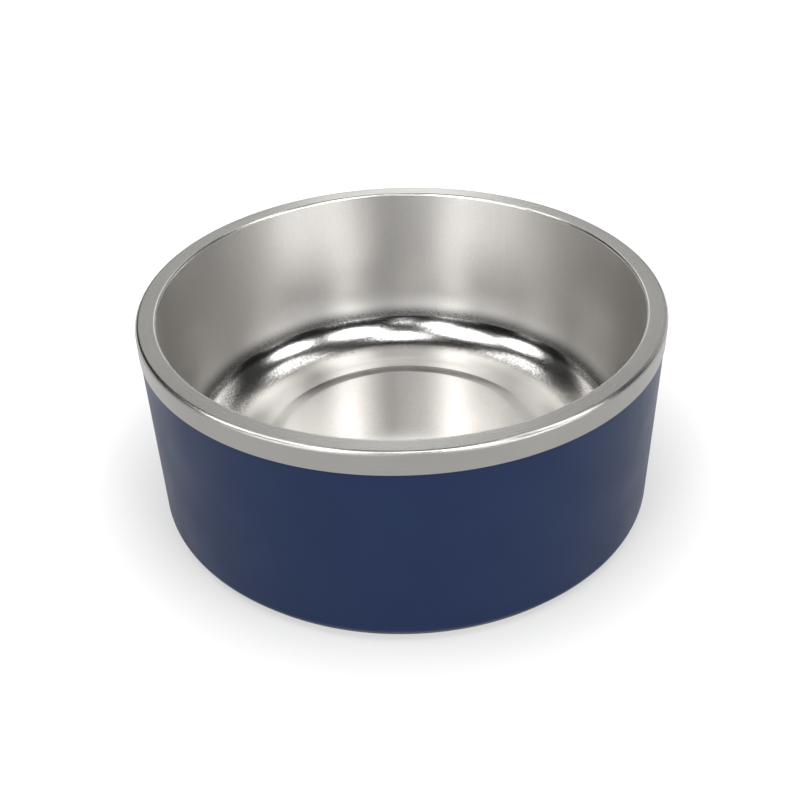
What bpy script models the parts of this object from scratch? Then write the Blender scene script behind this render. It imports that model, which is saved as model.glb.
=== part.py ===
"""Double-wall pet bowl for food or water.

A drawn steel liner is hemmed at its rim over a coated steel shell. A base plate closes the shell from
below, and a rubber ring under it keeps the bowl from sliding. Lengths are in metres, +Z is up, and the
origin is on the ground under the middle of the bowl, whose axis is the Z axis.
"""

import math

import bpy
from mathutils import Vector

MM = 0.001

# Whole bowl
RIM_RADIUS = 108.0 * MM  # outside of the bare steel rim
HEIGHT = 90.5 * MM  # ground to the top of the rim
FIT_GAP = 0.3 * MM  # left between pieces that touch

# Steel sheet of each pressing
LINER_SHEET = 0.8 * MM
SHELL_SHEET = 0.8 * MM
BASE_SHEET = 0.8 * MM

# Rim of the liner
RIM_BAND = 9.4 * MM  # height of the hem that is turned down outside
RIM_OUTER_EDGE = 1.6 * MM
RIM_INNER_EDGE = 1.2 * MM

# Inside of the liner
LINER_DRAFT = 2.5 * MM  # how much the wall leans in from the rim to the floor
CORNER_RADIUS = 28.5 * MM  # between wall and floor
FLOOR_LEDGE = 5.0 * MM  # flat ring between the corner and the raised middle of the floor
FLOOR_SLOPE = 7.0 * MM  # width of the slope up to the raised middle
FLOOR_RISE = 1.0 * MM
FLOOR_EASE = 6.0 * MM  # rounding at both ends of that slope

# Air space between the walls
WALL_AIR = 5.8 * MM  # liner to the neck of the shell
FLOOR_AIR = 11.3 * MM  # base plate to the floor of the liner

# Coated shell
SHELL_SETBACK = 0.4 * MM  # coated face to the face of the rim's hem
SHELL_DRAFT = 1.4 * MM  # how much the wall leans in from the hem to the foot
SHOULDER_EDGE = 0.3 * MM  # rounding where the wall steps in under the hem
LOWER_EDGE = 5.0 * MM  # rounding between wall and lip
LIP_LAND = 9.0 * MM  # flat part of the lip that the base plate rests on

# Gasket under the rim
GASKET_THICKNESS = 1.2 * MM
GASKET_LEG = 3.5 * MM  # how far it hangs down inside the shell's top edge

# Base plate
FOOT_HEIGHT = 1.5 * MM  # ground to the shell's lip
STEP_SLOPE = 1.5 * MM  # width of the step between the plate's flange and its pan
PRESS_EDGE = 1.0 * MM  # rounding of the plate's pressed steps
DIMPLE_RADIUS = 9.0 * MM
DIMPLE_SLOPE = 2.0 * MM
DIMPLE_RISE = 1.6 * MM
VENT_RADIUS = 3.3 * MM

# Vent plug
PLUG_HEAD_RADIUS = 6.5 * MM
PLUG_HEAD = 1.2 * MM
PLUG_BARB = 0.9 * MM  # how far the barb stands out past the hole
PLUG_NOSE = 2.6 * MM  # height of the tapered nose

# Non-slip ring
GROOVE_WIDTH = 4.2 * MM  # between the lip's edge and the plate's step
RING_INSET = 3.5 * MM  # coated wall to the ring's outer edge
RING_SKIRT = 5.0 * MM  # how far the ring reaches in past the groove
RING_EDGE = 0.4 * MM

# Facets
SEGMENTS = 64
PLUG_SEGMENTS = 32
ARC_SAG = 0.08 * MM  # most that a chord may cut off an arc
SHARP_ANGLE = math.radians(30)
ON_AXIS = 0.01 * MM

# Heights and radii that several pieces share
LIP_TOP = FOOT_HEIGHT + SHELL_SHEET
FLANGE_UNDER = LIP_TOP + FIT_GAP
LINER_FLOOR = FLANGE_UNDER + BASE_SHEET + FLOOR_AIR + LINER_SHEET
HEM_END = HEIGHT - RIM_BAND
NECK_RADIUS = RIM_RADIUS - LINER_SHEET - FIT_GAP
NECK_INNER = NECK_RADIUS - SHELL_SHEET
NECK_TOP = HEIGHT - LINER_SHEET - GASKET_THICKNESS - 2 * FIT_GAP
LINER_RADIUS = NECK_INNER - WALL_AIR - LINER_SHEET
SHELL_RADIUS = RIM_RADIUS - SHELL_SETBACK
BASE_RADIUS = SHELL_RADIUS - SHELL_DRAFT
LIP_OUTER = BASE_RADIUS - LOWER_EDGE
LIP_INNER = LIP_OUTER - LIP_LAND
GROOVE_INNER = LIP_INNER - GROOVE_WIDTH
DIMPLE_UNDER = FOOT_HEIGHT + DIMPLE_RISE


def unit(start, end):
    """Direction from one point of an outline to another."""
    return (end - start).normalized()


def right_of(direction):
    """The direction a quarter turn to the right."""
    return Vector((direction.y, -direction.x))


def rounded(corners):
    """Points along an outline, given its corners as (radius, height, rounding)."""
    path = [Vector(corners[0][:2])]
    for before, corner, after in zip(corners, corners[1:], corners[2:]):
        path += rounded_corner(before, corner, after)
    return path + [Vector(corners[-1][:2])]


def rounded_corner(before, corner, after):
    """An arc in place of a corner, which leaves room on each side for the rounding at its other end."""
    radius = corner[2]
    room = [(Vector(end[:2]) - Vector(corner[:2])).length / (radius + end[2] + ON_AXIS) for end in (before, after)]
    before, corner, after = (Vector(point[:2]) for point in (before, corner, after))
    inward, outward = unit(corner, before), unit(corner, after)
    half_turn = (math.pi - inward.angle(outward)) / 2
    tangent = radius * min(math.tan(half_turn), *room)
    if tangent < ARC_SAG:
        return [corner]
    radius = tangent / math.tan(half_turn)
    steps = math.ceil(half_turn / math.acos(max(1 - ARC_SAG / radius, 0.0)))
    middle = corner + (inward + outward).normalized() * radius / math.cos(half_turn)
    start = corner + inward * tangent - middle
    turn = start.angle_signed(corner + outward * tangent - middle)
    return [middle + turned_by(start, -turn * step / steps) for step in range(steps + 1)]


def turned_by(vector, angle):
    """The vector turned anticlockwise by an angle."""
    cosine, sine = math.cos(angle), math.sin(angle)
    return Vector((cosine * vector.x - sine * vector.y, sine * vector.x + cosine * vector.y))


def offset(corners, distance):
    """The corners of the same outline moved to its right, with the roundings that keep it parallel."""
    points = [Vector(corner[:2]) for corner in corners]
    sides = [unit(start, end) for start, end in zip(points, points[1:])]
    moved = [(*(points[0] + right_of(sides[0]) * distance), 0.0)]
    for point, corner, before, after in zip(points[1:], corners[1:-1], sides, sides[1:]):
        miter = right_of(before) + right_of(after)
        place = point + miter * distance / (1 + before.dot(after))
        bend = 1 if before.cross(after) > 0 else -1
        moved.append((*place, max(corner[2] + bend * distance, 0.0)))
    return moved + [(*(points[-1] + right_of(sides[-1]) * distance), 0.0)]


def sheet_outline(corners, thickness):
    """Section of a bent sheet: along one face, and back along the face to its right."""
    return rounded(corners) + rounded(offset(corners, thickness))[::-1]


def clockwise(outline):
    """The outline running down its outer side, so that the turned faces point out."""
    pairs = zip(outline, outline[1:] + outline[:1])
    area = sum(start.cross(end) for start, end in pairs)
    return outline if area < 0 else outline[::-1]


def turned(name, outline, segments=SEGMENTS):
    """A solid turned round the Z axis from an outline of (radius, height) points."""
    outline = clockwise(outline)
    on_axis = [index for index, point in enumerate(outline) if point.x < ON_AXIS]
    if on_axis:
        first = next(i for i in on_axis if outline[i - 1].x < ON_AXIS)
        outline = outline[first:] + outline[:first]
    edges = [(index, index + 1) for index in range(len(outline) - 1)]
    if not on_axis:
        edges.append((len(outline) - 1, 0))
    profile = bpy.data.meshes.new(name + "_profile")
    profile.from_pydata([(point.x, 0.0, point.y) for point in outline], edges, [])
    lathe = bpy.data.objects.new(name + "_lathe", profile)
    bpy.context.scene.collection.objects.link(lathe)
    screw = lathe.modifiers.new("turn", "SCREW")
    screw.steps = screw.render_steps = segments
    screw.use_merge_vertices = True
    screw.merge_threshold = ON_AXIS
    mesh = bpy.data.meshes.new_from_object(lathe.evaluated_get(bpy.context.evaluated_depsgraph_get()))
    bpy.data.objects.remove(lathe)
    bpy.data.meshes.remove(profile)
    mesh.name = name
    mesh.shade_smooth()
    mesh.set_sharp_from_angle(angle=SHARP_ANGLE)
    return bpy.data.objects.new(name, mesh)


def finish(name, colour, roughness, metallic):
    """A Principled material."""
    material = bpy.data.materials.new(name)
    material.use_nodes = True
    material.diffuse_color = (*colour, 1.0)
    shader = material.node_tree.nodes["Principled BSDF"]
    shader.inputs["Base Color"].default_value = (*colour, 1.0)
    shader.inputs["Roughness"].default_value = roughness
    shader.inputs["Metallic"].default_value = metallic
    return material


def inner_bowl():
    """Liner: raised floor, corner, wall, flat rim and the hem outside."""
    floor_radius = LINER_RADIUS - LINER_DRAFT
    slope_foot = floor_radius - CORNER_RADIUS - FLOOR_LEDGE
    corners = [
        (0.0, LINER_FLOOR + FLOOR_RISE, 0.0),
        (slope_foot - FLOOR_SLOPE, LINER_FLOOR + FLOOR_RISE, FLOOR_EASE),
        (slope_foot, LINER_FLOOR, FLOOR_EASE),
        (floor_radius, LINER_FLOOR, CORNER_RADIUS),
        (LINER_RADIUS, HEIGHT, RIM_INNER_EDGE),
        (RIM_RADIUS, HEIGHT, RIM_OUTER_EDGE),
        (RIM_RADIUS, HEM_END, 0.0),
    ]
    part = turned("inner_bowl", sheet_outline(corners, LINER_SHEET))
    part.data.materials.append(finish("liner_steel", (0.60, 0.58, 0.55), 0.30, 1.0))
    return part


def rim_gasket():
    """Rubber angle that lies on the shell's top edge and hangs down inside it."""
    top = NECK_TOP + FIT_GAP + GASKET_THICKNESS
    top_outer = min(NECK_RADIUS, RIM_RADIUS - RIM_OUTER_EDGE)  # clear of the bend in the rim
    leg_outer = NECK_INNER - FIT_GAP
    leg_inner = leg_outer - GASKET_THICKNESS
    outline = [
        (leg_inner, top),
        (top_outer, top),
        (NECK_RADIUS, NECK_TOP + FIT_GAP),
        (leg_outer, NECK_TOP + FIT_GAP),
        (leg_outer, NECK_TOP - GASKET_LEG),
        (leg_inner, NECK_TOP - GASKET_LEG),
    ]
    part = turned("rim_gasket", [Vector(point) for point in outline])
    part.data.materials.append(finish("gasket_rubber", (0.05, 0.05, 0.05), 0.8, 0.0))
    return part


def outer_shell():
    """Coated wall: neck under the hem, shoulder, leaning wall, rounded lower edge and lip."""
    shoulder = HEM_END - FIT_GAP
    corners = [
        (NECK_RADIUS, NECK_TOP, 0.0),
        (NECK_RADIUS, shoulder, SHOULDER_EDGE),
        (SHELL_RADIUS, shoulder, SHOULDER_EDGE),
        (BASE_RADIUS, FOOT_HEIGHT, LOWER_EDGE),
        (LIP_INNER, FOOT_HEIGHT, 0.0),
    ]
    part = turned("outer_shell", sheet_outline(corners, SHELL_SHEET))
    part.data.materials.append(finish("shell_coat", (0.014, 0.028, 0.085), 0.45, 0.0))
    return part


def base_plate():
    """Pressed plate: flange on the shell's lip, step down to the pan, dimple round the vent."""
    corners = [
        (LIP_OUTER - FIT_GAP, FLANGE_UNDER, 0.0),
        (GROOVE_INNER, FLANGE_UNDER, PRESS_EDGE),
        (GROOVE_INNER - STEP_SLOPE, FOOT_HEIGHT, PRESS_EDGE),
        (DIMPLE_RADIUS + DIMPLE_SLOPE, FOOT_HEIGHT, PRESS_EDGE),
        (DIMPLE_RADIUS, DIMPLE_UNDER, PRESS_EDGE),
        (VENT_RADIUS, DIMPLE_UNDER, 0.0),
    ]
    part = turned("base_plate", sheet_outline(corners, BASE_SHEET))
    part.data.materials.append(finish("base_steel", (0.55, 0.54, 0.52), 0.35, 1.0))
    return part


def vent_plug():
    """Rubber plug: flat head under the dimple, stem through the vent, barbed nose above it."""
    head_top = DIMPLE_UNDER - FIT_GAP
    barb_under = DIMPLE_UNDER + BASE_SHEET + FIT_GAP
    stem_radius = VENT_RADIUS - FIT_GAP
    outline = [
        (0.0, barb_under + PLUG_NOSE),
        (stem_radius / 2, barb_under + PLUG_NOSE),
        (VENT_RADIUS + PLUG_BARB, barb_under),
        (stem_radius, barb_under),
        (stem_radius, head_top),
        (PLUG_HEAD_RADIUS, head_top),
        (PLUG_HEAD_RADIUS, head_top - PLUG_HEAD),
        (0.0, head_top - PLUG_HEAD),
    ]
    part = turned("vent_plug", [Vector(point) for point in outline], PLUG_SEGMENTS)
    part.data.materials.append(finish("plug_rubber", (0.04, 0.04, 0.04), 0.75, 0.0))
    return part


def non_slip_ring():
    """Rubber foot with a tongue that fills the groove between the lip and the base plate."""
    outer = BASE_RADIUS - RING_INSET
    inner = GROOVE_INNER - RING_SKIRT
    foot_top = FOOT_HEIGHT - FIT_GAP
    tongue_top = FLANGE_UNDER - FIT_GAP
    corners = [
        (GROOVE_INNER + FIT_GAP, foot_top, 0.0),
        (GROOVE_INNER + FIT_GAP, tongue_top, 0.0),
        (LIP_INNER - FIT_GAP, tongue_top, 0.0),
        (LIP_INNER - FIT_GAP, foot_top, 0.0),
        (outer, foot_top, RING_EDGE),
        (outer, 0.0, RING_EDGE),
        (inner, 0.0, RING_EDGE),
        (inner, foot_top, RING_EDGE),
        (GROOVE_INNER + FIT_GAP, foot_top, 0.0),
    ]
    part = turned("non_slip_ring", rounded(corners)[:-1])
    part.data.materials.append(finish("foot_rubber", (0.06, 0.06, 0.06), 0.7, 0.0))
    return part


def clear_scene():
    """Removes every object that the file opened with."""
    for obj in list(bpy.data.objects):
        bpy.data.objects.remove(obj)


def main():
    """Builds the bowl in a collection of its own, with every piece under one empty."""
    clear_scene()
    collection = bpy.data.collections.new("pet_bowl")
    bpy.context.scene.collection.children.link(collection)
    root = bpy.data.objects.new("pet_bowl", None)
    collection.objects.link(root)
    for build in (inner_bowl, rim_gasket, outer_shell, base_plate, vent_plug, non_slip_ring):
        part = build()
        part.parent = root
        collection.objects.link(part)


if __name__ == "__main__":
    main()
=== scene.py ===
"""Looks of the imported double-wall pet bowl: turned steel, powder coat and rubber in a plain studio.

Lengths are in metres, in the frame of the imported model: +Z up along the bowl's axis, with the ground at 0.
"""

from __future__ import annotations

import logging
import math
from abc import ABC, abstractmethod
from collections.abc import Sequence
from dataclasses import dataclass, field
from enum import Enum

import bpy
from mathutils import Matrix, Vector


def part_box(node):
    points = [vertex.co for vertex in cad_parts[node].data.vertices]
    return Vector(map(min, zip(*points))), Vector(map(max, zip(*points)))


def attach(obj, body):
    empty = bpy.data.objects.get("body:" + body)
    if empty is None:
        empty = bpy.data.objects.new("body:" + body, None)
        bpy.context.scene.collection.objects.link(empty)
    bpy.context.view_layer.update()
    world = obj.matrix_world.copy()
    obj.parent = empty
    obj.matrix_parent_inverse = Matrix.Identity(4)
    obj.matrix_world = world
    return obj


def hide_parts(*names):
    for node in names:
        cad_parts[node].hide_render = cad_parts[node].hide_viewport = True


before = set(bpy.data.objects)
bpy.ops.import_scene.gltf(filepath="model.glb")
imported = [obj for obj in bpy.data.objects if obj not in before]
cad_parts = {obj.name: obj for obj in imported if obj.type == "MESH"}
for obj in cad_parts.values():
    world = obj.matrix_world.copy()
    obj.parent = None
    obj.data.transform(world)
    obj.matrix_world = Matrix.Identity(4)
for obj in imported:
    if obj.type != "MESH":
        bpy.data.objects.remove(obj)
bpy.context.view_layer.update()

MM = 0.001
BODY = "root"
PICTURE_PIXELS = 800
SENSOR = 36.0
NEAR_CLIP = 0.01
FAR_CLIP = 100.0
GLOSSY_BOUNCES = 10
SEGMENTS = 288
FLOOR_SEGMENTS = 96
ARC_SAG = 0.004 * MM
FINEST_STEP = math.radians(4)
COARSEST_STEP = math.radians(18)
FEWEST_STEPS = 3
LONGEST_RUN = 6 * MM
EASED_RUN = 0.25 * MM
ON_AXIS = 0.01 * MM
DOUBLED_POINT = 0.001 * MM
SHARP_ANGLE = math.radians(35)
NOISE_LOW = 0.28
NOISE_HIGH = 0.72
LAY_RADIUS = 100 * MM
QUARTER_TURN = 0.25
OVAL = 2 / math.sqrt(math.pi)
BLACK = (0.0, 0.0, 0.0)
WHITE = (1.0, 1.0, 1.0, 1.0)

Colour = tuple[float, float, float]
Socket = bpy.types.NodeSocket

log = logging.getLogger("pet_bowl")


class Zone(Enum):
    """Finish zones of a turned piece, numbered as its material slots."""

    WALL = 0
    CORNER = 1
    FLOOR = 2
    RIM = 3
    HEM = 4


class Lay(Enum):
    """Direction of the fine lines that polishing left in the steel."""

    AROUND = "around the axis"
    UPRIGHT = "along the wall"


@dataclass(frozen=True)
class Corner:
    """One corner of a turned section.

    Attributes:
        radius: Distance from the axis.
        height: Height above the ground.
        rounding: Radius of the arc in place of the corner.
        run: Finish of the straight run that leaves the corner.
        bend: Finish of the arc.
        bend_share: Share of the arc that has that finish, before the run's own starts.
    """

    radius: float
    height: float
    rounding: float = 0.0
    run: Zone = Zone.WALL
    bend: Zone = Zone.WALL
    bend_share: float = 1.0

    @property
    def place(self) -> Vector:
        """The corner as a point of the section."""
        return Vector((self.radius, self.height))


@dataclass(frozen=True)
class Station:
    """A point of a finished section, with the finish of the stretch that leaves it."""

    place: Vector
    zone: Zone


class Section:
    """Open outline of a turned piece, walked from corner to corner."""

    def __init__(self, corners: Sequence[Corner]) -> None:
        """Keeps the corners in walking order."""
        self.corners = list(corners)

    def stations(self) -> list[Station]:
        """Points along the outline, close enough for smooth shading.

        Returns:
            Stations from the first corner to the last.
        """
        found = [Station(self.corners[0].place, self.corners[0].run)]
        for before, corner, after in zip(self.corners, self.corners[1:], self.corners[2:]):
            bend = self._bend(before, corner, after)
            found += self._run(found[-1], bend[0].place)
            found += bend
        last = self.corners[-1]
        found += self._run(found[-1], last.place)
        return found + [Station(last.place, last.run)]

    @staticmethod
    def _run(start: Station, end: Vector) -> list[Station]:
        """Points between two ends of a straight run, with a short stretch at each end.

        Args:
            start: Station that the run leaves.
            end: Where the run ends.

        Returns:
            The stations strictly between the ends.
        """
        length = (end - start.place).length
        if length < 4 * EASED_RUN:
            return []
        inner = length - 2 * EASED_RUN
        steps = max(1, math.ceil(inner / LONGEST_RUN))
        along = [EASED_RUN + inner * step / steps for step in range(steps + 1)]
        return [Station(start.place.lerp(end, way / length), start.zone) for way in along]

    @staticmethod
    def _bend(before: Corner, corner: Corner, after: Corner) -> list[Station]:
        """The arc in place of a corner.

        Args:
            before: Corner before it.
            corner: Corner to round.
            after: Corner after it.

        Returns:
            Stations along the arc, or the corner itself where it is sharp.
        """
        inward = (before.place - corner.place).normalized()
        outward = (after.place - corner.place).normalized()
        half_turn = (math.pi - inward.angle(outward)) / 2
        tangent = corner.rounding * math.tan(half_turn)
        if tangent < ON_AXIS:
            return [Station(corner.place, corner.run)]
        for other in (before, after):
            share = corner.rounding / (corner.rounding + other.rounding)
            tangent = min(tangent, (other.place - corner.place).length * share)
        radius = tangent / math.tan(half_turn)
        middle = corner.place + (inward + outward).normalized() * radius / math.cos(half_turn)
        start = corner.place + inward * tangent - middle
        turn = -start.angle_signed(corner.place + outward * tangent - middle)
        facet = 2 * math.acos(max(1 - ARC_SAG / radius, 0.0))
        steps = max(FEWEST_STEPS, math.ceil(abs(turn) / min(max(facet, FINEST_STEP), COARSEST_STEP)))
        arc = [middle + Matrix.Rotation(turn * step / steps, 2) @ start for step in range(steps + 1)]
        last = round(steps * corner.bend_share)
        return [Station(place, corner.bend if step < last else corner.run) for step, place in enumerate(arc)]

    def offset(self, distance: float) -> Section:
        """The parallel outline to the right of this one.

        Args:
            distance: Gap between the two outlines.

        Returns:
            The moved outline, with roundings that keep it parallel.
        """
        places = [corner.place for corner in self.corners]
        sides = [(end - start).normalized() for start, end in zip(places, places[1:])]
        rights = [Vector((side.y, -side.x)) for side in sides]
        moved = [self._moved(self.corners[0], places[0] + rights[0] * distance, 0.0)]
        for index in range(1, len(places) - 1):
            before, after = sides[index - 1], sides[index]
            miter = (rights[index - 1] + rights[index]) / (1 + before.dot(after))
            bend = math.copysign(distance, before.cross(after))
            rounding = max(self.corners[index].rounding + bend, 0.0)
            moved.append(self._moved(self.corners[index], places[index] + miter * distance, rounding))
        moved.append(self._moved(self.corners[-1], places[-1] + rights[-1] * distance, 0.0))
        return Section(moved)

    @staticmethod
    def _moved(corner: Corner, place: Vector, rounding: float) -> Corner:
        """The same corner at another place and with another rounding."""
        return Corner(max(place.x, 0.0), place.y, rounding, corner.run, corner.bend, corner.bend_share)

    def sheet(self, thickness: float) -> list[Station]:
        """Closed section of a bent sheet with this outline as one of its faces.

        Args:
            thickness: Thickness of the sheet, to the right of the outline.

        Returns:
            Stations along this face and back along the other one.
        """
        front = self.stations()
        back = self.offset(thickness).stations()[::-1]
        back = [Station(far.place, near.zone) for far, near in zip(back, back[1:] + back[-1:])]
        return front + back


class NodeSheet:
    """Adds and links the nodes of one material or world."""

    def __init__(self, owner: bpy.types.Material | bpy.types.World) -> None:
        """Starts with an empty node tree.

        Args:
            owner: Material or world that the nodes belong to.
        """
        owner.use_nodes = True
        self.owner = owner
        self.tree = owner.node_tree
        self.tree.nodes.clear()

    def add(self, kind: str, inputs: dict[str, object] | None = None, **settings: object) -> bpy.types.Node:
        """A new node.

        Args:
            kind: Name of the node's type.
            inputs: Outputs or plain values for its inputs, by name.
            **settings: Values for the node's own properties.

        Returns:
            The node.
        """
        node = self.tree.nodes.new(kind)
        for name, value in settings.items():
            setattr(node, name, value)
        for name, value in (inputs or {}).items():
            self.feed(node.inputs[name], value)
        return node

    def feed(self, socket: Socket, value: object) -> None:
        """Links an output to a socket, or sets the socket to a plain value.

        Args:
            socket: Input to feed.
            value: Output or plain value for it.
        """
        if isinstance(value, Socket):
            self.tree.links.new(value, socket)
        else:
            socket.default_value = value

    def calc(self, operation: str, *values: object) -> Socket:
        """Result of a Math node.

        Args:
            operation: Name of the operation.
            *values: Outputs or numbers for its inputs, in order.

        Returns:
            The result.
        """
        node = self.add("ShaderNodeMath", operation=operation)
        for socket, value in zip(node.inputs, values):
            self.feed(socket, value)
        return node.outputs["Value"]

    def join(self, x: object, y: object, z: object) -> Socket:
        """A vector put together from three outputs or numbers."""
        return self.add("ShaderNodeCombineXYZ", {"X": x, "Y": y, "Z": z}).outputs["Vector"]

    def place(self) -> Socket:
        """Position on the piece, in metres."""
        return self.add("ShaderNodeTexCoord").outputs["Object"]

    def turned_place(self) -> tuple[Socket, ...]:
        """Position as a direction round the axis and two lengths.

        Returns:
            The direction's x and y, the distance from the axis, and the height.
        """
        x, y, height = self.add("ShaderNodeSeparateXYZ", {"Vector": self.place()}).outputs
        radius = self.calc("SQRT", self.calc("ADD", self.calc("MULTIPLY", x, x), self.calc("MULTIPLY", y, y)))
        safe = self.calc("MAXIMUM", radius, ON_AXIS)
        return self.calc("DIVIDE", x, safe), self.calc("DIVIDE", y, safe), radius, height

    def noise(self, vector: Socket, scale: float, detail: float = 2.0, roughness: float = 0.5) -> Socket:
        """Value of a noise texture.

        Args:
            vector: Place to read it at.
            scale: Features for each unit of the vector.
            detail: Finer layers added to it.
            roughness: Strength of the finer layers.

        Returns:
            The value, around a half.
        """
        inputs = {"Vector": vector, "Scale": scale, "Detail": detail, "Roughness": roughness}
        return self.add("ShaderNodeTexNoise", inputs).outputs["Fac"]

    def spread(self, value: Socket, low: float, high: float) -> Socket:
        """The middle of a noise value's range, stretched between two numbers.

        Args:
            value: Noise value, around a half.
            low: Result at the low end.
            high: Result at the high end.

        Returns:
            The stretched value.
        """
        return self.fade(value, NOISE_LOW, NOISE_HIGH, low, high)

    def fade(self, value: Socket, start: float, end: float, low: float, high: float) -> Socket:
        """Soft step from one number to another.

        Args:
            value: Value that drives the step.
            start: Where the step starts.
            end: Where the step ends.
            low: Result at the start.
            high: Result at the end.

        Returns:
            The stepped value.
        """
        inputs = {"Value": value, "From Min": start, "From Max": end, "To Min": low, "To Max": high}
        return self.add("ShaderNodeMapRange", inputs, interpolation_type="SMOOTHSTEP").outputs["Result"]

    def blend(self, factor: Socket, first: object, second: object) -> Socket:
        """Mix of two colours.

        Args:
            factor: Share of the second colour.
            first: Colour at 0, or an output that gives it.
            second: Colour at 1, or an output that gives it.

        Returns:
            The mixed colour.
        """
        node = self.add("ShaderNodeMix", {"Factor": factor}, data_type="RGBA")
        ends = [socket for socket in node.inputs if socket.type == "RGBA"]
        for socket, colour in zip(ends, (first, second)):
            self.feed(socket, colour if isinstance(colour, Socket) else (*colour, 1.0))
        return next(socket for socket in node.outputs if socket.type == "RGBA")

    def bump(self, height: Socket, distance: float, below: Socket | None = None) -> Socket:
        """Normal of a relief.

        Args:
            height: Height of the relief, from 0 to 1.
            distance: Real height at 1.
            below: Normal of a relief that this one lies on.

        Returns:
            The normal.
        """
        inputs = {"Distance": distance, "Height": height}
        if below is not None:
            inputs["Normal"] = below
        return self.add("ShaderNodeBump", inputs).outputs["Normal"]

    def principled(self, inputs: dict[str, object]) -> bpy.types.Material:
        """Gives the material a Principled surface.

        Args:
            inputs: Outputs or plain values for its inputs, by name.

        Returns:
            The finished material.
        """
        shader = self.add("ShaderNodeBsdfPrincipled", inputs)
        self.add("ShaderNodeOutputMaterial", {"Surface": shader.outputs["BSDF"]})
        return self.owner


class Finish(ABC):
    """A finish that can be laid on a piece."""

    @abstractmethod
    def material(self) -> bpy.types.Material:
        """The finish as a new material."""


@dataclass(frozen=True)
class PaintedShadeRing:
    """Speckled ring of painted shade in the steel's colour, which stands in for dark reflections in the bowl.

    Attributes:
        inner: Radius at which the ring is at its full depth.
        outer: Radius at which it starts to fade.
        inner_ease: Width over which it fades towards the axis.
        outer_ease: Width over which it fades towards the wall.
        depth: How much darker the ring is than bright steel.
        speck_size: Size of its specks.
        speck_share: How far single specks stay bright.
    """

    inner: float
    outer: float
    inner_ease: float
    outer_ease: float
    depth: float
    speck_size: float
    speck_share: float

    def shade(self, sheet: NodeSheet) -> Socket:
        """Share of painted shade at each place.

        Args:
            sheet: Node sheet of the material.

        Returns:
            Nought away from the ring, up to the depth inside it.
        """
        radius = sheet.turned_place()[2]
        rise = sheet.fade(radius, self.inner - self.inner_ease, self.inner, 0.0, self.depth)
        fall = sheet.fade(radius, self.outer, self.outer + self.outer_ease, 1.0, 0.0)
        specks = sheet.noise(sheet.place(), 1 / self.speck_size, detail=1.0)
        kept = sheet.spread(specks, 1 - self.speck_share, 1.0)
        return sheet.calc("MULTIPLY", sheet.calc("MULTIPLY", rise, fall), kept)


@dataclass(frozen=True)
class SteelFinish(Finish):
    """Bare stainless steel, with the lines and grain that polishing left.

    Attributes:
        name: Name of the material.
        tint: Colour of the steel.
        tint_spread: How much darker its dull clouds are.
        roughness: Roughness of its brightest places.
        roughness_spread: How much rougher its dull clouds are.
        lay: Direction of the polishing lines.
        line_pitch: Distance between lines.
        line_length: How far a line runs.
        line_depth: Depth of the lines.
        grain_size: Size of the specks between them.
        grain_depth: Depth of the specks.
        speck: How much darker the deepest specks are, painted speckle that gives the grain its tone and
            stands in for its glints.
        anisotropy: How far the lines draw a highlight out across themselves.
        marks: Rings of painted shade, which stand in for dark reflections.
        cloud_size: Size of the dull clouds.
        line_share: Share of the lines in the dull places, next to the clouds.
    """

    name: str
    tint: Colour
    tint_spread: float
    roughness: float
    roughness_spread: float
    lay: Lay
    line_pitch: float
    line_length: float
    line_depth: float
    grain_size: float
    grain_depth: float
    speck: float = 0.0
    anisotropy: float = 0.0
    marks: tuple[PaintedShadeRing, ...] = ()
    cloud_size: float = 30 * MM
    line_share: float = 0.5

    def material(self) -> bpy.types.Material:
        """The steel as a new material.

        Returns:
            The material.
        """
        sheet = NodeSheet(bpy.data.materials.new(self.name))
        place = sheet.place()
        lines = sheet.noise(self._line_place(sheet), 1.0, detail=3.0, roughness=0.6)
        grain = sheet.noise(place, 1 / self.grain_size, detail=1.0)
        clouds = sheet.noise(place, 1 / self.cloud_size, detail=3.0)
        dull = tuple(part * (1 - self.tint_spread) for part in self.tint)
        clouds = sheet.calc("MULTIPLY", clouds, 1 - self.line_share)
        mixed = sheet.calc("MULTIPLY_ADD", lines, self.line_share, clouds)
        colour = sheet.blend(sheet.spread(mixed, 0.0, 1.0), self.tint, dull)
        # Painted shade: the grain's darker specks, which also stand in for its glints, and the rings of
        # painted shade darken the colour.
        for shade in [sheet.spread(grain, self.speck, 0.0)] + [mark.shade(sheet) for mark in self.marks]:
            colour = sheet.blend(shade, colour, BLACK)
        inputs = {
            "Base Color": colour,
            "Roughness": sheet.spread(mixed, self.roughness, self.roughness + self.roughness_spread),
            "Normal": sheet.bump(grain, self.grain_depth, sheet.bump(lines, self.line_depth)),
            "Metallic": 1.0,
            "Anisotropic": self.anisotropy,
        }
        if self.anisotropy:
            tangent = sheet.add("ShaderNodeTangent", direction_type="RADIAL", axis="Z")
            inputs["Tangent"] = tangent.outputs["Tangent"]
            inputs["Anisotropic Rotation"] = QUARTER_TURN
        return sheet.principled(inputs)

    def _line_place(self, sheet: NodeSheet) -> Socket:
        """Place on the steel, drawn out so that noise runs as lines.

        Args:
            sheet: Node sheet of the material.

        Returns:
            The place, in lines across and line lengths along.
        """
        east, north, radius, height = sheet.turned_place()
        if self.lay is Lay.AROUND:
            turns = LAY_RADIUS / self.line_length
            across = sheet.calc("MULTIPLY", sheet.calc("ADD", radius, height), 1 / self.line_pitch)
        else:
            turns = LAY_RADIUS / self.line_pitch
            across = sheet.calc("MULTIPLY", height, 1 / self.line_length)
        return sheet.join(sheet.calc("MULTIPLY", east, turns), sheet.calc("MULTIPLY", north, turns), across)


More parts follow.
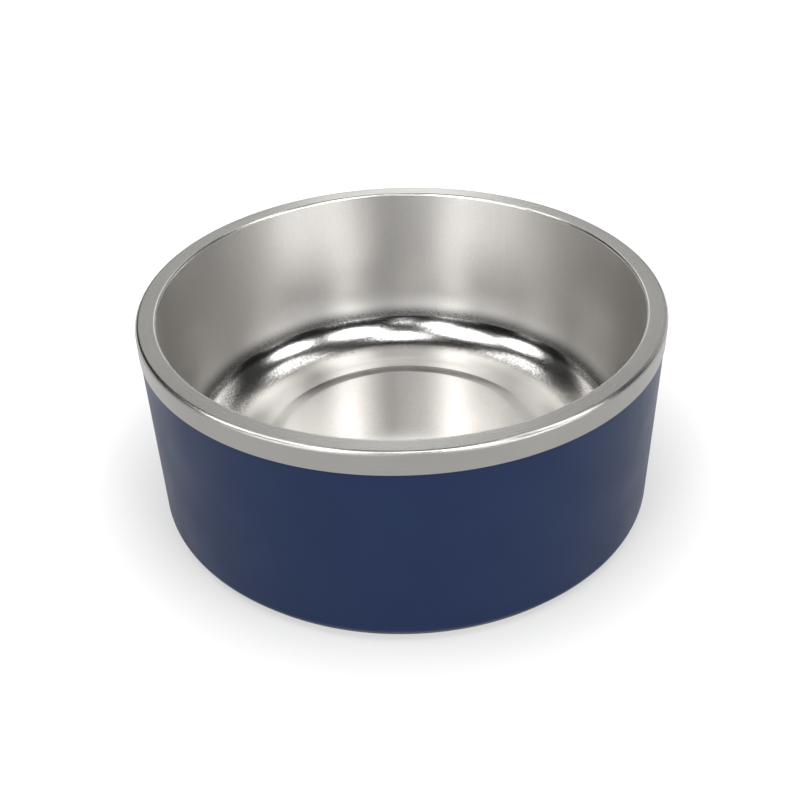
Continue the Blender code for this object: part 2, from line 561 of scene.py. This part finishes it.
@dataclass(frozen=True)
class PowderCoat(Finish):
    """Satin powder coat, with its fine orange peel.

    Attributes:
        name: Name of the material.
        tint: Colour of the coat.
        shade: Colour of its faint darker clouds.
        roughness: Roughness of its smoothest places.
        gloss: Strength of its clear reflections, where a half is a plain varnish.
        peel_size: Width of the ripples.
        peel_depth: Depth of the ripples.
        grit_size: Size of the finest texture.
        grit_depth: Depth of the finest texture.
        roughness_spread: How much rougher its darker clouds are.
        cloud_size: Size of those clouds.
        grit_share: Share of the finest texture in them.
    """

    name: str
    tint: Colour
    shade: Colour
    roughness: float
    gloss: float
    peel_size: float
    peel_depth: float
    grit_size: float
    grit_depth: float
    roughness_spread: float = 0.08
    cloud_size: float = 22 * MM
    grit_share: float = 0.35

    def material(self) -> bpy.types.Material:
        """The coat as a new material.

        Returns:
            The material.
        """
        sheet = NodeSheet(bpy.data.materials.new(self.name))
        place = sheet.place()
        clouds = sheet.noise(place, 1 / self.cloud_size, detail=3.0)
        peel = sheet.noise(place, 1 / self.peel_size, detail=1.0)
        grit = sheet.noise(place, 1 / self.grit_size, detail=2.0, roughness=0.6)
        clouds = sheet.calc("MULTIPLY", clouds, 1 - self.grit_share)
        mixed = sheet.calc("MULTIPLY_ADD", grit, self.grit_share, clouds)
        inputs = {
            "Base Color": sheet.blend(sheet.spread(mixed, 0.0, 1.0), self.tint, self.shade),
            "Roughness": sheet.spread(mixed, self.roughness, self.roughness + self.roughness_spread),
            "Normal": sheet.bump(grit, self.grit_depth, sheet.bump(peel, self.peel_depth)),
            "Specular IOR Level": self.gloss,
        }
        return sheet.principled(inputs)


@dataclass(frozen=True)
class Rubber(Finish):
    """Matt moulded rubber with a fine grain.

    Attributes:
        name: Name of the material.
        tint: Colour of the rubber.
        bloom: Colour of its dusty bloom.
        roughness: Roughness of its smoothest places.
        grain_size: Size of the moulded grain.
        grain_depth: Depth of the moulded grain.
        roughness_spread: How much rougher its dusty places are.
        cloud_size: Size of those places.
    """

    name: str
    tint: Colour
    bloom: Colour
    roughness: float
    grain_size: float
    grain_depth: float
    roughness_spread: float = 0.12
    cloud_size: float = 9 * MM

    def material(self) -> bpy.types.Material:
        """The rubber as a new material.

        Returns:
            The material.
        """
        sheet = NodeSheet(bpy.data.materials.new(self.name))
        place = sheet.place()
        clouds = sheet.noise(place, 1 / self.cloud_size, detail=4.0, roughness=0.6)
        grain = sheet.noise(place, 1 / self.grain_size, detail=2.0)
        inputs = {
            "Base Color": sheet.blend(sheet.spread(clouds, 0.0, 1.0), self.tint, self.bloom),
            "Roughness": sheet.spread(clouds, self.roughness, self.roughness + self.roughness_spread),
            "Normal": sheet.bump(grain, self.grain_depth),
        }
        return sheet.principled(inputs)


# Painted shade: dark ring low in the corner, which stands in for the dark reflection that falls there.
PAINTED_LOW_CORNER_SHADE = PaintedShadeRing(
    inner=79.5 * MM, outer=82 * MM, inner_ease=2.5 * MM, outer_ease=2.5 * MM, depth=0.40,
    speck_size=0.7 * MM, speck_share=0.9,
)
# Painted shade with bright specks over the corner, which stands in for its dark reflections and the glints of
# its grain.
PAINTED_CORNER_SPECKS = PaintedShadeRing(
    inner=80 * MM, outer=99 * MM, inner_ease=5 * MM, outer_ease=1 * MM, depth=0.56,
    speck_size=0.66 * MM, speck_share=1.0,
)
# Painted shade: dark line where the wall turns into the corner, which stands in for a dark reflection.
PAINTED_CORNER_TOP_SHADE = PaintedShadeRing(
    inner=91 * MM, outer=93 * MM, inner_ease=1.6 * MM, outer_ease=3 * MM, depth=0.88,
    speck_size=0.55 * MM, speck_share=0.3,
)
# Painted shade: soft dark arc on the slope up to the raised floor, which stands in for a dark reflection.
PAINTED_SLOPE_SHADE = PaintedShadeRing(
    inner=60 * MM, outer=61 * MM, inner_ease=6.5 * MM, outer_ease=2.8 * MM, depth=0.20,
    speck_size=0.6 * MM, speck_share=0.6,
)
RIM_STEEL = SteelFinish(
    "rim_steel", tint=(0.66, 0.65, 0.62), tint_spread=0.10, roughness=0.21, roughness_spread=0.08,
    lay=Lay.AROUND, line_pitch=0.16 * MM, line_length=28 * MM, line_depth=0.0015 * MM,
    grain_size=0.22 * MM, grain_depth=0.002 * MM, anisotropy=0.4,
)
# Painted shade: the hem is the same steel as the rim, painted much darker so that its reflections come out
# dim.
SHADED_HEM_STEEL = SteelFinish(
    "shaded_hem_steel", tint=(0.265, 0.258, 0.247), tint_spread=0.10, roughness=0.36, roughness_spread=0.06,
    lay=Lay.AROUND, line_pitch=0.16 * MM, line_length=28 * MM, line_depth=0.0008 * MM,
    grain_size=0.22 * MM, grain_depth=0.001 * MM,
)
WALL_STEEL = SteelFinish(
    "wall_steel", tint=(0.62, 0.605, 0.585), tint_spread=0.06, roughness=0.37, roughness_spread=0.05,
    lay=Lay.UPRIGHT, line_pitch=0.35 * MM, line_length=26 * MM, line_depth=0.0005 * MM,
    grain_size=0.45 * MM, grain_depth=0.002 * MM, speck=0.10, anisotropy=0.8, marks=(PAINTED_CORNER_TOP_SHADE,),
)
# Painted light: the corner and floor steel are paler than the wall's steel of the same sheet, which brightens
# their reflections.
CORNER_STEEL = SteelFinish(
    "corner_steel", tint=(0.86, 0.845, 0.825), tint_spread=0.06, roughness=0.135, roughness_spread=0.03,
    lay=Lay.AROUND, line_pitch=0.30 * MM, line_length=18 * MM, line_depth=0.0002 * MM,
    grain_size=0.45 * MM, grain_depth=0.014 * MM, marks=(PAINTED_LOW_CORNER_SHADE, PAINTED_CORNER_SPECKS, PAINTED_CORNER_TOP_SHADE),
)
FLOOR_STEEL = SteelFinish(
    "floor_steel", tint=(0.87, 0.855, 0.835), tint_spread=0.06, roughness=0.13, roughness_spread=0.03,
    lay=Lay.AROUND, line_pitch=0.28 * MM, line_length=24 * MM, line_depth=0.0002 * MM,
    grain_size=0.60 * MM, grain_depth=0.0015 * MM, speck=0.10, marks=(PAINTED_SLOPE_SHADE,),
)
BASE_STEEL = SteelFinish(
    "base_steel", tint=(0.58, 0.565, 0.54), tint_spread=0.14, roughness=0.30, roughness_spread=0.14,
    lay=Lay.AROUND, line_pitch=0.35 * MM, line_length=40 * MM, line_depth=0.006 * MM,
    grain_size=0.25 * MM, grain_depth=0.004 * MM, anisotropy=0.4,
)
SHELL_COAT = PowderCoat(
    "shell_coat", tint=(0.0068, 0.0153, 0.0456), shade=(0.0058, 0.0134, 0.0411), roughness=0.37, gloss=0.10,
    peel_size=1.1 * MM, peel_depth=0.006 * MM, grit_size=0.16 * MM, grit_depth=0.004 * MM,
)
FOOT_RUBBER = Rubber(
    "foot_rubber", tint=(0.045, 0.045, 0.047), bloom=(0.075, 0.074, 0.074), roughness=0.60,
    grain_size=0.22 * MM, grain_depth=0.02 * MM,
)
PLUG_RUBBER = Rubber(
    "plug_rubber", tint=(0.030, 0.030, 0.031), bloom=(0.050, 0.050, 0.050), roughness=0.56,
    grain_size=0.18 * MM, grain_depth=0.012 * MM,
)
GASKET_RUBBER = Rubber(
    "gasket_rubber", tint=(0.040, 0.040, 0.040), bloom=(0.060, 0.060, 0.060), roughness=0.64,
    grain_size=0.2 * MM, grain_depth=0.012 * MM,
)


@dataclass
class TurnedPiece(ABC):
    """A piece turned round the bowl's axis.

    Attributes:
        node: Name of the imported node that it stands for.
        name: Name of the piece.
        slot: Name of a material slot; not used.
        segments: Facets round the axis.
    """

    node: str
    name: str
    slot: str
    segments: int = SEGMENTS
    low: Vector = field(init=False)
    high: Vector = field(init=False)

    def __post_init__(self) -> None:
        """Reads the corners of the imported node."""
        self.low, self.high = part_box(self.node)

    @property
    def outer(self) -> float:
        """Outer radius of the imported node."""
        return self.high.x

    @abstractmethod
    def section(self) -> list[Station]:
        """Closed section of the piece."""

    @abstractmethod
    def finishes(self) -> list[Finish]:
        """Finishes in the order of the zones."""

    def build(self) -> None:
        """Turns the section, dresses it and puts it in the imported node's place."""
        piece = bpy.data.objects.new(self.name, self._turned())
        bpy.context.scene.collection.objects.link(piece)
        for finish in self.finishes():
            piece.data.materials.append(finish.material())
        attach(piece, BODY)
        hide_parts(self.node)
        log.info("%s: %d faces for %s", piece.name, len(piece.data.polygons), self.node)

    def _turned(self) -> bpy.types.Mesh:
        """The section turned into a closed mesh.

        Returns:
            The mesh, smooth apart from its sharp edges.
        """
        stations = self._clean(self.section())
        points, rings = [], []
        for station in stations:
            radius, height = station.place
            count = 1 if radius < ON_AXIS else self.segments
            rings.append(range(len(points), len(points) + count))
            for step in range(count):
                angle = 2 * math.pi * step / self.segments
                points.append((radius * math.cos(angle), radius * math.sin(angle), height))
        faces, zones = [], []
        for index, station in enumerate(stations):
            made = self._band(rings[index], rings[(index + 1) % len(rings)])
            faces += made
            zones += [station.zone.value] * len(made)
        mesh = bpy.data.meshes.new(self.name)
        mesh.from_pydata(points, [], faces)
        mesh.polygons.foreach_set("material_index", zones)
        mesh.shade_smooth()
        mesh.set_sharp_from_angle(angle=SHARP_ANGLE)
        return mesh

    @staticmethod
    def _clean(stations: list[Station]) -> list[Station]:
        """The section walked anticlockwise, without doubled points.

        Args:
            stations: Section in either sense.

        Returns:
            The section whose turned faces point out.
        """
        following = stations[1:] + stations[:1]
        area = sum(here.place.cross(there.place) for here, there in zip(stations, following))
        if area < 0:
            following = stations[-2::-1] + stations[-1:]
            stations = [Station(here.place, there.zone) for here, there in zip(stations[::-1], following)]
        kept = [stations[0]]
        for station in stations[1:]:
            if (station.place - kept[-1].place).length > DOUBLED_POINT:
                kept.append(station)
        return kept

    def _band(self, lower: range, upper: range) -> list[tuple[int, ...]]:
        """Faces between two neighbouring rings.

        Args:
            lower: Points of the first ring, or its one point on the axis.
            upper: Points of the next ring, or its one point on the axis.

        Returns:
            The faces' point numbers.
        """
        if len(lower) == len(upper) == 1:
            return []
        faces = []
        for step in range(self.segments):
            after = (step + 1) % self.segments
            if len(lower) == 1:
                faces.append((lower[0], upper[after], upper[step]))
            elif len(upper) == 1:
                faces.append((lower[step], lower[after], upper[0]))
            else:
                faces.append((lower[step], lower[after], upper[after], upper[step]))
        return faces


@dataclass
class InnerBowl(TurnedPiece):
    """Drawn steel liner: raised floor, corner, wall, flat rim and the hem outside.

    Attributes:
        sheet: Thickness of the steel.
        wall_radius: Radius of the wall at the rim.
        wall_draft: How much the wall leans in from the rim to the floor.
        corner_radius: Rounding between wall and floor.
        polished: Share of that rounding that is polished like the floor.
        ledge: Width of the flat ring round the raised middle.
        slope: Width of the slope up to the raised middle.
        rise: Height of the raised middle.
        ease: Rounding at both ends of the slope.
        inner_edge: Rounding of the rim's inner edge.
        outer_edge: Rounding of the rim's outer edge.
        brushed: Share of that rounding that is brushed like the rim.
        band: Height of the hem.
    """

    sheet: float = 0.8 * MM
    wall_radius: float = 99.5 * MM
    wall_draft: float = 2.5 * MM
    corner_radius: float = 28.5 * MM
    polished: float = 0.62
    ledge: float = 5.0 * MM
    slope: float = 7.0 * MM
    rise: float = 1.0 * MM
    ease: float = 6.0 * MM
    inner_edge: float = 1.2 * MM
    outer_edge: float = 1.6 * MM
    brushed: float = 0.6
    band: float = 9.4 * MM

    def section(self) -> list[Station]:
        """Section of the liner, from the middle of the floor to the end of the hem.

        Returns:
            The closed section.
        """
        top, floor = self.high.z, self.low.z + self.sheet
        floor_radius = self.wall_radius - self.wall_draft
        slope_foot = floor_radius - self.corner_radius - self.ledge
        face = Section(
            [
                Corner(0.0, floor + self.rise, 0.0, Zone.FLOOR),
                Corner(slope_foot - self.slope, floor + self.rise, self.ease, Zone.FLOOR, Zone.FLOOR),
                Corner(slope_foot, floor, self.ease, Zone.CORNER, Zone.FLOOR),
                Corner(floor_radius, floor, self.corner_radius, Zone.WALL, Zone.CORNER, self.polished),
                Corner(self.wall_radius, top, self.inner_edge, Zone.RIM, Zone.RIM),
                Corner(self.outer, top, self.outer_edge, Zone.HEM, Zone.RIM, self.brushed),
                Corner(self.outer, top - self.band, 0.0, Zone.HEM),
            ]
        )
        return face.sheet(self.sheet)

    def finishes(self) -> list[Finish]:
        """Brushed wall, polished corner and floor, brushed rim and hem."""
        return [WALL_STEEL, CORNER_STEEL, FLOOR_STEEL, RIM_STEEL, SHADED_HEM_STEEL]


@dataclass
class OuterShell(TurnedPiece):
    """Coated steel wall under the rim's hem.

    Attributes:
        sheet: Thickness of the coated steel.
        neck_inset: How far the neck is set in under the hem.
        shoulder: Height of the step under the hem.
        shoulder_edge: Rounding of that step.
        draft: How much the wall leans in from the hem to the foot.
        lower_edge: Rounding between wall and lip.
        lip: Width of the flat lip under the bowl.
    """

    sheet: float = 0.8 * MM
    neck_inset: float = 0.7 * MM
    shoulder: float = 80.8 * MM
    shoulder_edge: float = 0.3 * MM
    draft: float = 1.4 * MM
    lower_edge: float = 5.0 * MM
    lip: float = 14.0 * MM

    def section(self) -> list[Station]:
        """Section of the shell, from its neck to the inner end of its lip.

        Returns:
            The closed section.
        """
        foot_radius = self.outer - self.draft
        neck = self.outer - self.neck_inset
        face = Section(
            [
                Corner(neck, self.high.z),
                Corner(neck, self.shoulder, self.shoulder_edge),
                Corner(self.outer, self.shoulder, self.shoulder_edge),
                Corner(foot_radius, self.low.z, self.lower_edge),
                Corner(foot_radius - self.lip, self.low.z),
            ]
        )
        return face.sheet(self.sheet)

    def finishes(self) -> list[Finish]:
        """The coat all over."""
        return [SHELL_COAT]


@dataclass
class BasePlate(TurnedPiece):
    """Pressed steel plate that closes the bowl from below.

    Attributes:
        sheet: Thickness of the steel.
        pan_radius: Radius where the flange steps down to the pan.
        pan_depth: Height of that step.
        step: Width of that step.
        dimple_radius: Radius of the dimple round the vent.
        dimple_slope: Width of the dimple's slope.
        dimple_rise: Depth of the dimple.
        vent_radius: Radius of the vent.
        press_edge: Rounding of the pressed steps.
    """

    sheet: float = 0.8 * MM
    pan_radius: float = 88.0 * MM
    pan_depth: float = 1.1 * MM
    step: float = 1.5 * MM
    dimple_radius: float = 9.0 * MM
    dimple_slope: float = 2.0 * MM
    dimple_rise: float = 1.6 * MM
    vent_radius: float = 3.3 * MM
    press_edge: float = 1.0 * MM

    def section(self) -> list[Station]:
        """Section of the plate, from its flange to the vent.

        Returns:
            The closed section.
        """
        pan = self.low.z
        flange = pan + self.pan_depth
        dimple = pan + self.dimple_rise
        face = Section(
            [
                Corner(self.outer, flange),
                Corner(self.pan_radius, flange, self.press_edge),
                Corner(self.pan_radius - self.step, pan, self.press_edge),
                Corner(self.dimple_radius + self.dimple_slope, pan, self.press_edge),
                Corner(self.dimple_radius, dimple, self.press_edge),
                Corner(self.vent_radius, dimple),
            ]
        )
        return face.sheet(self.sheet)

    def finishes(self) -> list[Finish]:
        """Spun steel all over."""
        return [BASE_STEEL]


@dataclass
class NonSlipRing(TurnedPiece):
    """Rubber foot with grip grooves and a tongue up into the base.

    Attributes:
        thickness: Thickness of the foot.
        inner_radius: Radius of its inner edge.
        tongue_inner: Inner radius of the tongue.
        tongue_outer: Outer radius of the tongue.
        edge: Rounding of the foot's edges.
        grooves: Number of grip grooves.
        groove_width: Width of a groove.
        groove_depth: Depth of a groove.
    """

    thickness: float = 1.2 * MM
    inner_radius: float = 83.0 * MM
    tongue_inner: float = 88.3 * MM
    tongue_outer: float = 91.9 * MM
    edge: float = 0.4 * MM
    grooves: int = 4
    groove_width: float = 1.6 * MM
    groove_depth: float = 0.45 * MM

    def section(self) -> list[Station]:
        """Section of the ring, round its tongue, its outer edge and its grooved underside.

        Returns:
            The closed section.
        """
        ground, top = self.low.z, self.low.z + self.thickness
        pitch = (self.outer - self.inner_radius) / (self.grooves + 1)
        corners = [
            Corner(self.tongue_inner, top),
            Corner(self.tongue_inner, self.high.z),
            Corner(self.tongue_outer, self.high.z),
            Corner(self.tongue_outer, top),
            Corner(self.outer, top, self.edge),
            Corner(self.outer, ground, self.edge),
        ]
        for index in range(self.grooves):
            middle = self.outer - pitch * (index + 1)
            depth = ground + self.groove_depth
            corners += [
                Corner(middle + self.groove_width / 2, ground, self.edge / 2),
                Corner(middle + self.groove_width / 4, depth, self.edge / 2),
                Corner(middle - self.groove_width / 4, depth, self.edge / 2),
                Corner(middle - self.groove_width / 2, ground, self.edge / 2),
            ]
        corners += [
            Corner(self.inner_radius, ground, self.edge),
            Corner(self.inner_radius, top, self.edge),
            Corner(self.tongue_inner, top),
        ]
        return Section(corners).stations()[:-1]

    def finishes(self) -> list[Finish]:
        """Moulded rubber all over."""
        return [FOOT_RUBBER]


@dataclass
class VentPlug(TurnedPiece):
    """Rubber plug in the vent of the base plate.

    Attributes:
        head: Thickness of the head.
        head_edge: Rounding of the head.
        dish_radius: Radius of the moulded dish in the head.
        dish_depth: Depth of that dish.
        stem_radius: Radius of the stem.
        stem: Length of the stem.
        barb_radius: Radius of the barb.
        nose_radius: Radius of the nose's end.
    """

    head: float = 1.2 * MM
    head_edge: float = 0.5 * MM
    dish_radius: float = 2.6 * MM
    dish_depth: float = 0.4 * MM
    stem_radius: float = 3.0 * MM
    stem: float = 1.4 * MM
    barb_radius: float = 4.2 * MM
    nose_radius: float = 1.5 * MM

    def section(self) -> list[Station]:
        """Section of the plug, from the tip of its nose down to the dish in its head.

        Returns:
            The closed section.
        """
        under = self.low.z
        head_top = under + self.head
        barb = head_top + self.stem
        return Section(
            [
                Corner(0.0, self.high.z),
                Corner(self.nose_radius, self.high.z, self.head_edge),
                Corner(self.barb_radius, barb, self.head_edge / 2),
                Corner(self.stem_radius, barb),
                Corner(self.stem_radius, head_top),
                Corner(self.outer, head_top, self.head_edge / 2),
                Corner(self.outer, under, self.head_edge),
                Corner(self.dish_radius, under, self.head_edge),
                Corner(self.dish_radius - self.dish_depth, under + self.dish_depth, self.head_edge),
                Corner(0.0, under + self.dish_depth),
            ]
        ).stations()

    def finishes(self) -> list[Finish]:
        """Moulded rubber all over."""
        return [PLUG_RUBBER]


@dataclass
class RimGasket:
    """Rubber angle under the rim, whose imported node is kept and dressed.

    Attributes:
        node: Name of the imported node.
    """

    node: str = "rim_gasket"

    def dress(self) -> None:
        """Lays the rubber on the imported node."""
        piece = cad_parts[self.node]
        piece.data.materials.clear()
        piece.data.materials.append(GASKET_RUBBER.material())
        log.info("%s: packed node with a new finish", piece.name)


@dataclass(frozen=True)
class Softbox:
    """A soft oval lamp that faces the bowl.

    Attributes:
        name: Name of the lamp.
        azimuth: Direction round the bowl, in degrees from the back, towards the right.
        elevation: Height above the horizon, in degrees.
        wide: Width as seen from the bowl, in degrees.
        tall: Height as seen from the bowl, in degrees.
        radiance: Brightness of its face, where 1 is white.
        distance: Distance from the bowl's rim.
    """

    name: str
    azimuth: float
    elevation: float
    wide: float
    tall: float
    radiance: float
    distance: float = 1.2

    def hang(self, aim: Vector) -> None:
        """Makes the lamp and turns it to the bowl.

        Args:
            aim: Point that it faces.
        """
        data = bpy.data.lights.new(self.name, "AREA")
        data.shape = "ELLIPSE"
        data.size = 2 * self.distance * math.tan(math.radians(self.wide / 2)) * OVAL
        data.size_y = 2 * self.distance * math.tan(math.radians(self.tall / 2)) * OVAL
        data.energy = self.radiance * math.pi * data.size * data.size_y / OVAL**2
        lamp = bpy.data.objects.new(self.name, data)
        bpy.context.scene.collection.objects.link(lamp)
        azimuth, elevation = math.radians(self.azimuth), math.radians(self.elevation)
        level = math.cos(elevation)
        away = Vector((level * math.sin(azimuth), level * math.cos(azimuth), math.sin(elevation)))
        lamp.location = aim + away * self.distance
        lamp.rotation_mode = "QUATERNION"
        lamp.rotation_quaternion = away.to_track_quat("Z", "Y")
        lamp.visible_camera = False


@dataclass
class Studio:
    """Pale floor, soft lamps and an even room.

    Attributes:
        room: Brightness of the room.
        band: Brightness of the pale band above the floor's far edge.
        band_full: Elevation up to which that band has its full brightness.
        band_end: Elevation at which it has faded into the room.
        floor_radius: Radius of the floor.
        floor_tint: Colour of the floor.
        shadow_tint: Colour of the floor for the camera and mirrors, which leaves only a faint shadow.
        floor_glow: Share of white that the floor adds by itself, growing away from the axis, so that the
            floor near the bowl is darker: painted shade round its base.
        glow_full: Distance from the axis at which that glow is full.
        lamps: The soft lamps.
    """

    room: float = 0.02
    band: float = 0.8
    band_full: float = math.radians(5)
    band_end: float = math.radians(15)
    floor_radius: float = 12.0
    floor_tint: Colour = (0.80, 0.80, 0.80)
    shadow_tint: Colour = (0.30, 0.30, 0.30)
    floor_glow: float = 0.95
    glow_full: float = 0.21
    lamps: tuple[Softbox, ...] = (
        Softbox("ceiling right", 133, 68, 16, 20, 5.6),
        Softbox("ceiling left near", -150, 59, 10, 15, 4.6),
        Softbox("ceiling left", -114, 67, 22, 17, 4.8),
        Softbox("ceiling middle", 176, 88, 12, 18, 3.6),
        Softbox("small right", 161, 41, 7, 8, 3.6),
        Softbox("small middle", -178, 54, 8, 9, 3.6),
        Softbox("side right", 92, 51, 15, 16, 5),
        Softbox("side left", -87, 49, 15, 16, 5),
        Softbox("back high left", -36, 58, 20, 12, 2.5),
        Softbox("back high right", 42, 60, 20, 12, 2.5),
        Softbox("low right far", 125, 11, 19, 12, 13),
        Softbox("low right near", 145, 11, 19, 12, 11),
        Softbox("low middle", -165, 11, 19, 12, 2),
        Softbox("low left near", -145, 11, 19, 12, 11),
        Softbox("low left far", -125, 11, 19, 12, 8),
        Softbox("window right far", 110, 26, 10, 11, 4),
        Softbox("window right", 125, 26, 10, 11, 2),
        Softbox("window right near", 150, 26, 10, 11, 7),
        Softbox("window middle", 180, 26, 10, 11, 2.6),
        Softbox("window middle left", -171, 26, 10, 11, 3),
        Softbox("window left near", -161, 26, 10, 11, 2),
        Softbox("window left", -150, 26, 10, 11, 6),
        Softbox("window left far", -125, 26, 10, 11, 3.5),
        Softbox("upper right near", 150, 38, 10, 11, 6),
        Softbox("upper right middle", 161, 36, 9, 9, 3),
        Softbox("upper left middle", -161, 36, 9, 9, 1.5),
        Softbox("upper left near", -150, 38, 10, 11, 6),
        Softbox("upper left", -138, 38, 10, 11, 2),
        Softbox("upper right", 138, 38, 10, 11, 2),
        Softbox("side right low", 100, 28, 12, 12, 2),
        Softbox("side left low", -100, 28, 12, 12, 2),
        Softbox("back glow", 0, 30, 44, 24, 0.55),
        Softbox("back core", 0.5, 29, 13, 14, 1.3),
        Softbox("back right", 45, 25, 30, 20, 0.5),
    )

    def build(self, aim: Vector) -> None:
        """Lays the floor, lights the room and hangs the lamps.

        Args:
            aim: Point that the lamps face.
        """
        self._floor()
        self._room()
        for lamp in self.lamps:
            lamp.hang(aim)
        log.info("studio: %d lamps", len(self.lamps))

    def _floor(self) -> None:
        """Lays a round floor that stays white and keeps the bowl's shadow."""
        turns = [2 * math.pi * step / FLOOR_SEGMENTS for step in range(FLOOR_SEGMENTS)]
        edge = [(math.cos(turn), math.sin(turn)) for turn in turns]
        points = [(self.floor_radius * x, self.floor_radius * y, 0.0) for x, y in edge]
        mesh = bpy.data.meshes.new("studio_floor")
        mesh.from_pydata(points, [], [tuple(range(len(points)))])
        floor = bpy.data.objects.new("studio_floor", mesh)
        bpy.context.scene.collection.objects.link(floor)
        mesh.materials.append(self._floor_finish())

    def _floor_finish(self) -> bpy.types.Material:
        """Matt floor that the camera and mirrors see with a glow and a fainter shadow.

        Returns:
            The material.
        """
        sheet = NodeSheet(bpy.data.materials.new("studio_floor"))
        path = sheet.add("ShaderNodeLightPath").outputs
        seen = sheet.calc("MAXIMUM", path["Is Camera Ray"], path["Is Glossy Ray"])
        seen = sheet.calc("MAXIMUM", seen, path["Is Transmission Ray"])
        tint = sheet.blend(seen, self.floor_tint, self.shadow_tint)
        # Painted shadow: the glow fades towards the bowl, so the floor round its base darkens for the camera,
        # on top of its real shadow.
        far = sheet.fade(sheet.turned_place()[2], 0.0, self.glow_full, 0.0, self.floor_glow)
        matt = sheet.add("ShaderNodeBsdfDiffuse", {"Color": tint})
        glow = sheet.add("ShaderNodeEmission", {"Strength": sheet.calc("MULTIPLY", seen, far)})
        both = sheet.add("ShaderNodeAddShader")
        sheet.feed(both.inputs[0], matt.outputs["BSDF"])
        sheet.feed(both.inputs[1], glow.outputs["Emission"])
        sheet.add("ShaderNodeOutputMaterial", {"Surface": both.outputs["Shader"]})
        return sheet.owner

    def _room(self) -> None:
        """Lights the room evenly, with a pale band above the floor's far edge."""
        world = bpy.data.worlds.new("studio_room")
        sheet = NodeSheet(world)
        direction = sheet.add("ShaderNodeTexCoord").outputs["Generated"]
        height = sheet.add("ShaderNodeSeparateXYZ", {"Vector": direction}).outputs["Z"]
        strength = sheet.fade(height, math.sin(self.band_full), math.sin(self.band_end), self.band, self.room)
        air = sheet.add("ShaderNodeBackground", {"Color": WHITE, "Strength": strength})
        sheet.add("ShaderNodeOutputWorld", {"Surface": air.outputs["Background"]})
        bpy.context.scene.world = world


@dataclass(frozen=True)
class ViewCamera:
    """Camera at the picture's viewing angle.

    Attributes:
        distance: Distance from the middle of the rim.
        elevation: Height above the rim, in degrees.
        roll: Turn about the line of sight, in degrees.
        focal_pixels: Focal length in pixels of the picture.
        right_pixels: How far the middle of the rim lies right of the picture's middle.
        down_pixels: How far it lies below the picture's middle.
    """

    distance: float = 483.08 * MM
    elevation: float = 29.2196
    roll: float = -1.65157
    focal_pixels: float = 1170.879
    right_pixels: float = 0.6805
    down_pixels: float = -104.591

    def build(self, aim: Vector) -> None:
        """Makes the camera and gives it to the scene.

        Args:
            aim: Middle of the rim.
        """
        data = bpy.data.cameras.new("view_camera")
        data.sensor_width = SENSOR
        data.lens = self.focal_pixels * SENSOR / PICTURE_PIXELS
        data.clip_start = NEAR_CLIP
        data.clip_end = FAR_CLIP
        camera = bpy.data.objects.new("view_camera", data)
        bpy.context.scene.collection.objects.link(camera)
        camera.matrix_world = self._placed(aim)
        bpy.context.scene.camera = camera
        log.info("camera: lens %.1f mm", data.lens)

    def _placed(self, aim: Vector) -> Matrix:
        """Place and turn of the camera.

        Args:
            aim: Middle of the rim.

        Returns:
            The camera's matrix.
        """
        elevation, roll = math.radians(self.elevation), math.radians(self.roll)
        away = Vector((0.0, -math.cos(elevation), math.sin(elevation)))
        right, ahead = Vector((1.0, 0.0, 0.0)), -away
        up = right.cross(ahead)
        across = right * math.cos(roll) + up * math.sin(roll)
        upright = up * math.cos(roll) - right * math.sin(roll)
        look = Vector((self.right_pixels, -self.down_pixels, self.focal_pixels)).normalized()
        swing = Vector((0.0, 0.0, 1.0)).rotation_difference(look).to_matrix()
        axes = [across * row.x + upright * row.y + ahead * row.z for row in swing]
        matrix = Matrix((axes[0], axes[1], -axes[2])).transposed().to_4x4()
        matrix.translation = aim + away * self.distance
        return matrix


def main() -> None:
    """Builds every piece, then the studio and the camera."""
    logging.basicConfig(level=logging.INFO, format="%(name)s: %(message)s")
    scene = bpy.context.scene
    scene.view_settings.view_transform = "Standard"
    scene.cycles.glossy_bounces = GLOSSY_BOUNCES
    bowl = InnerBowl("inner_bowl", "steel_liner", "liner_steel")
    for piece in (
        bowl,
        OuterShell("outer_shell", "coated_shell", "shell_coat"),
        BasePlate("base_plate", "pressed_base", "base_steel", segments=192),
        NonSlipRing("non_slip_ring", "rubber_foot", "foot_rubber", segments=192),
        VentPlug("vent_plug", "rubber_plug", "plug_rubber", segments=96),
    ):
        piece.build()
    RimGasket().dress()
    rim_middle = Vector((0.0, 0.0, bowl.high.z))
    Studio().build(rim_middle)
    ViewCamera().build(rim_middle)


if __name__ == "__main__":
    main()
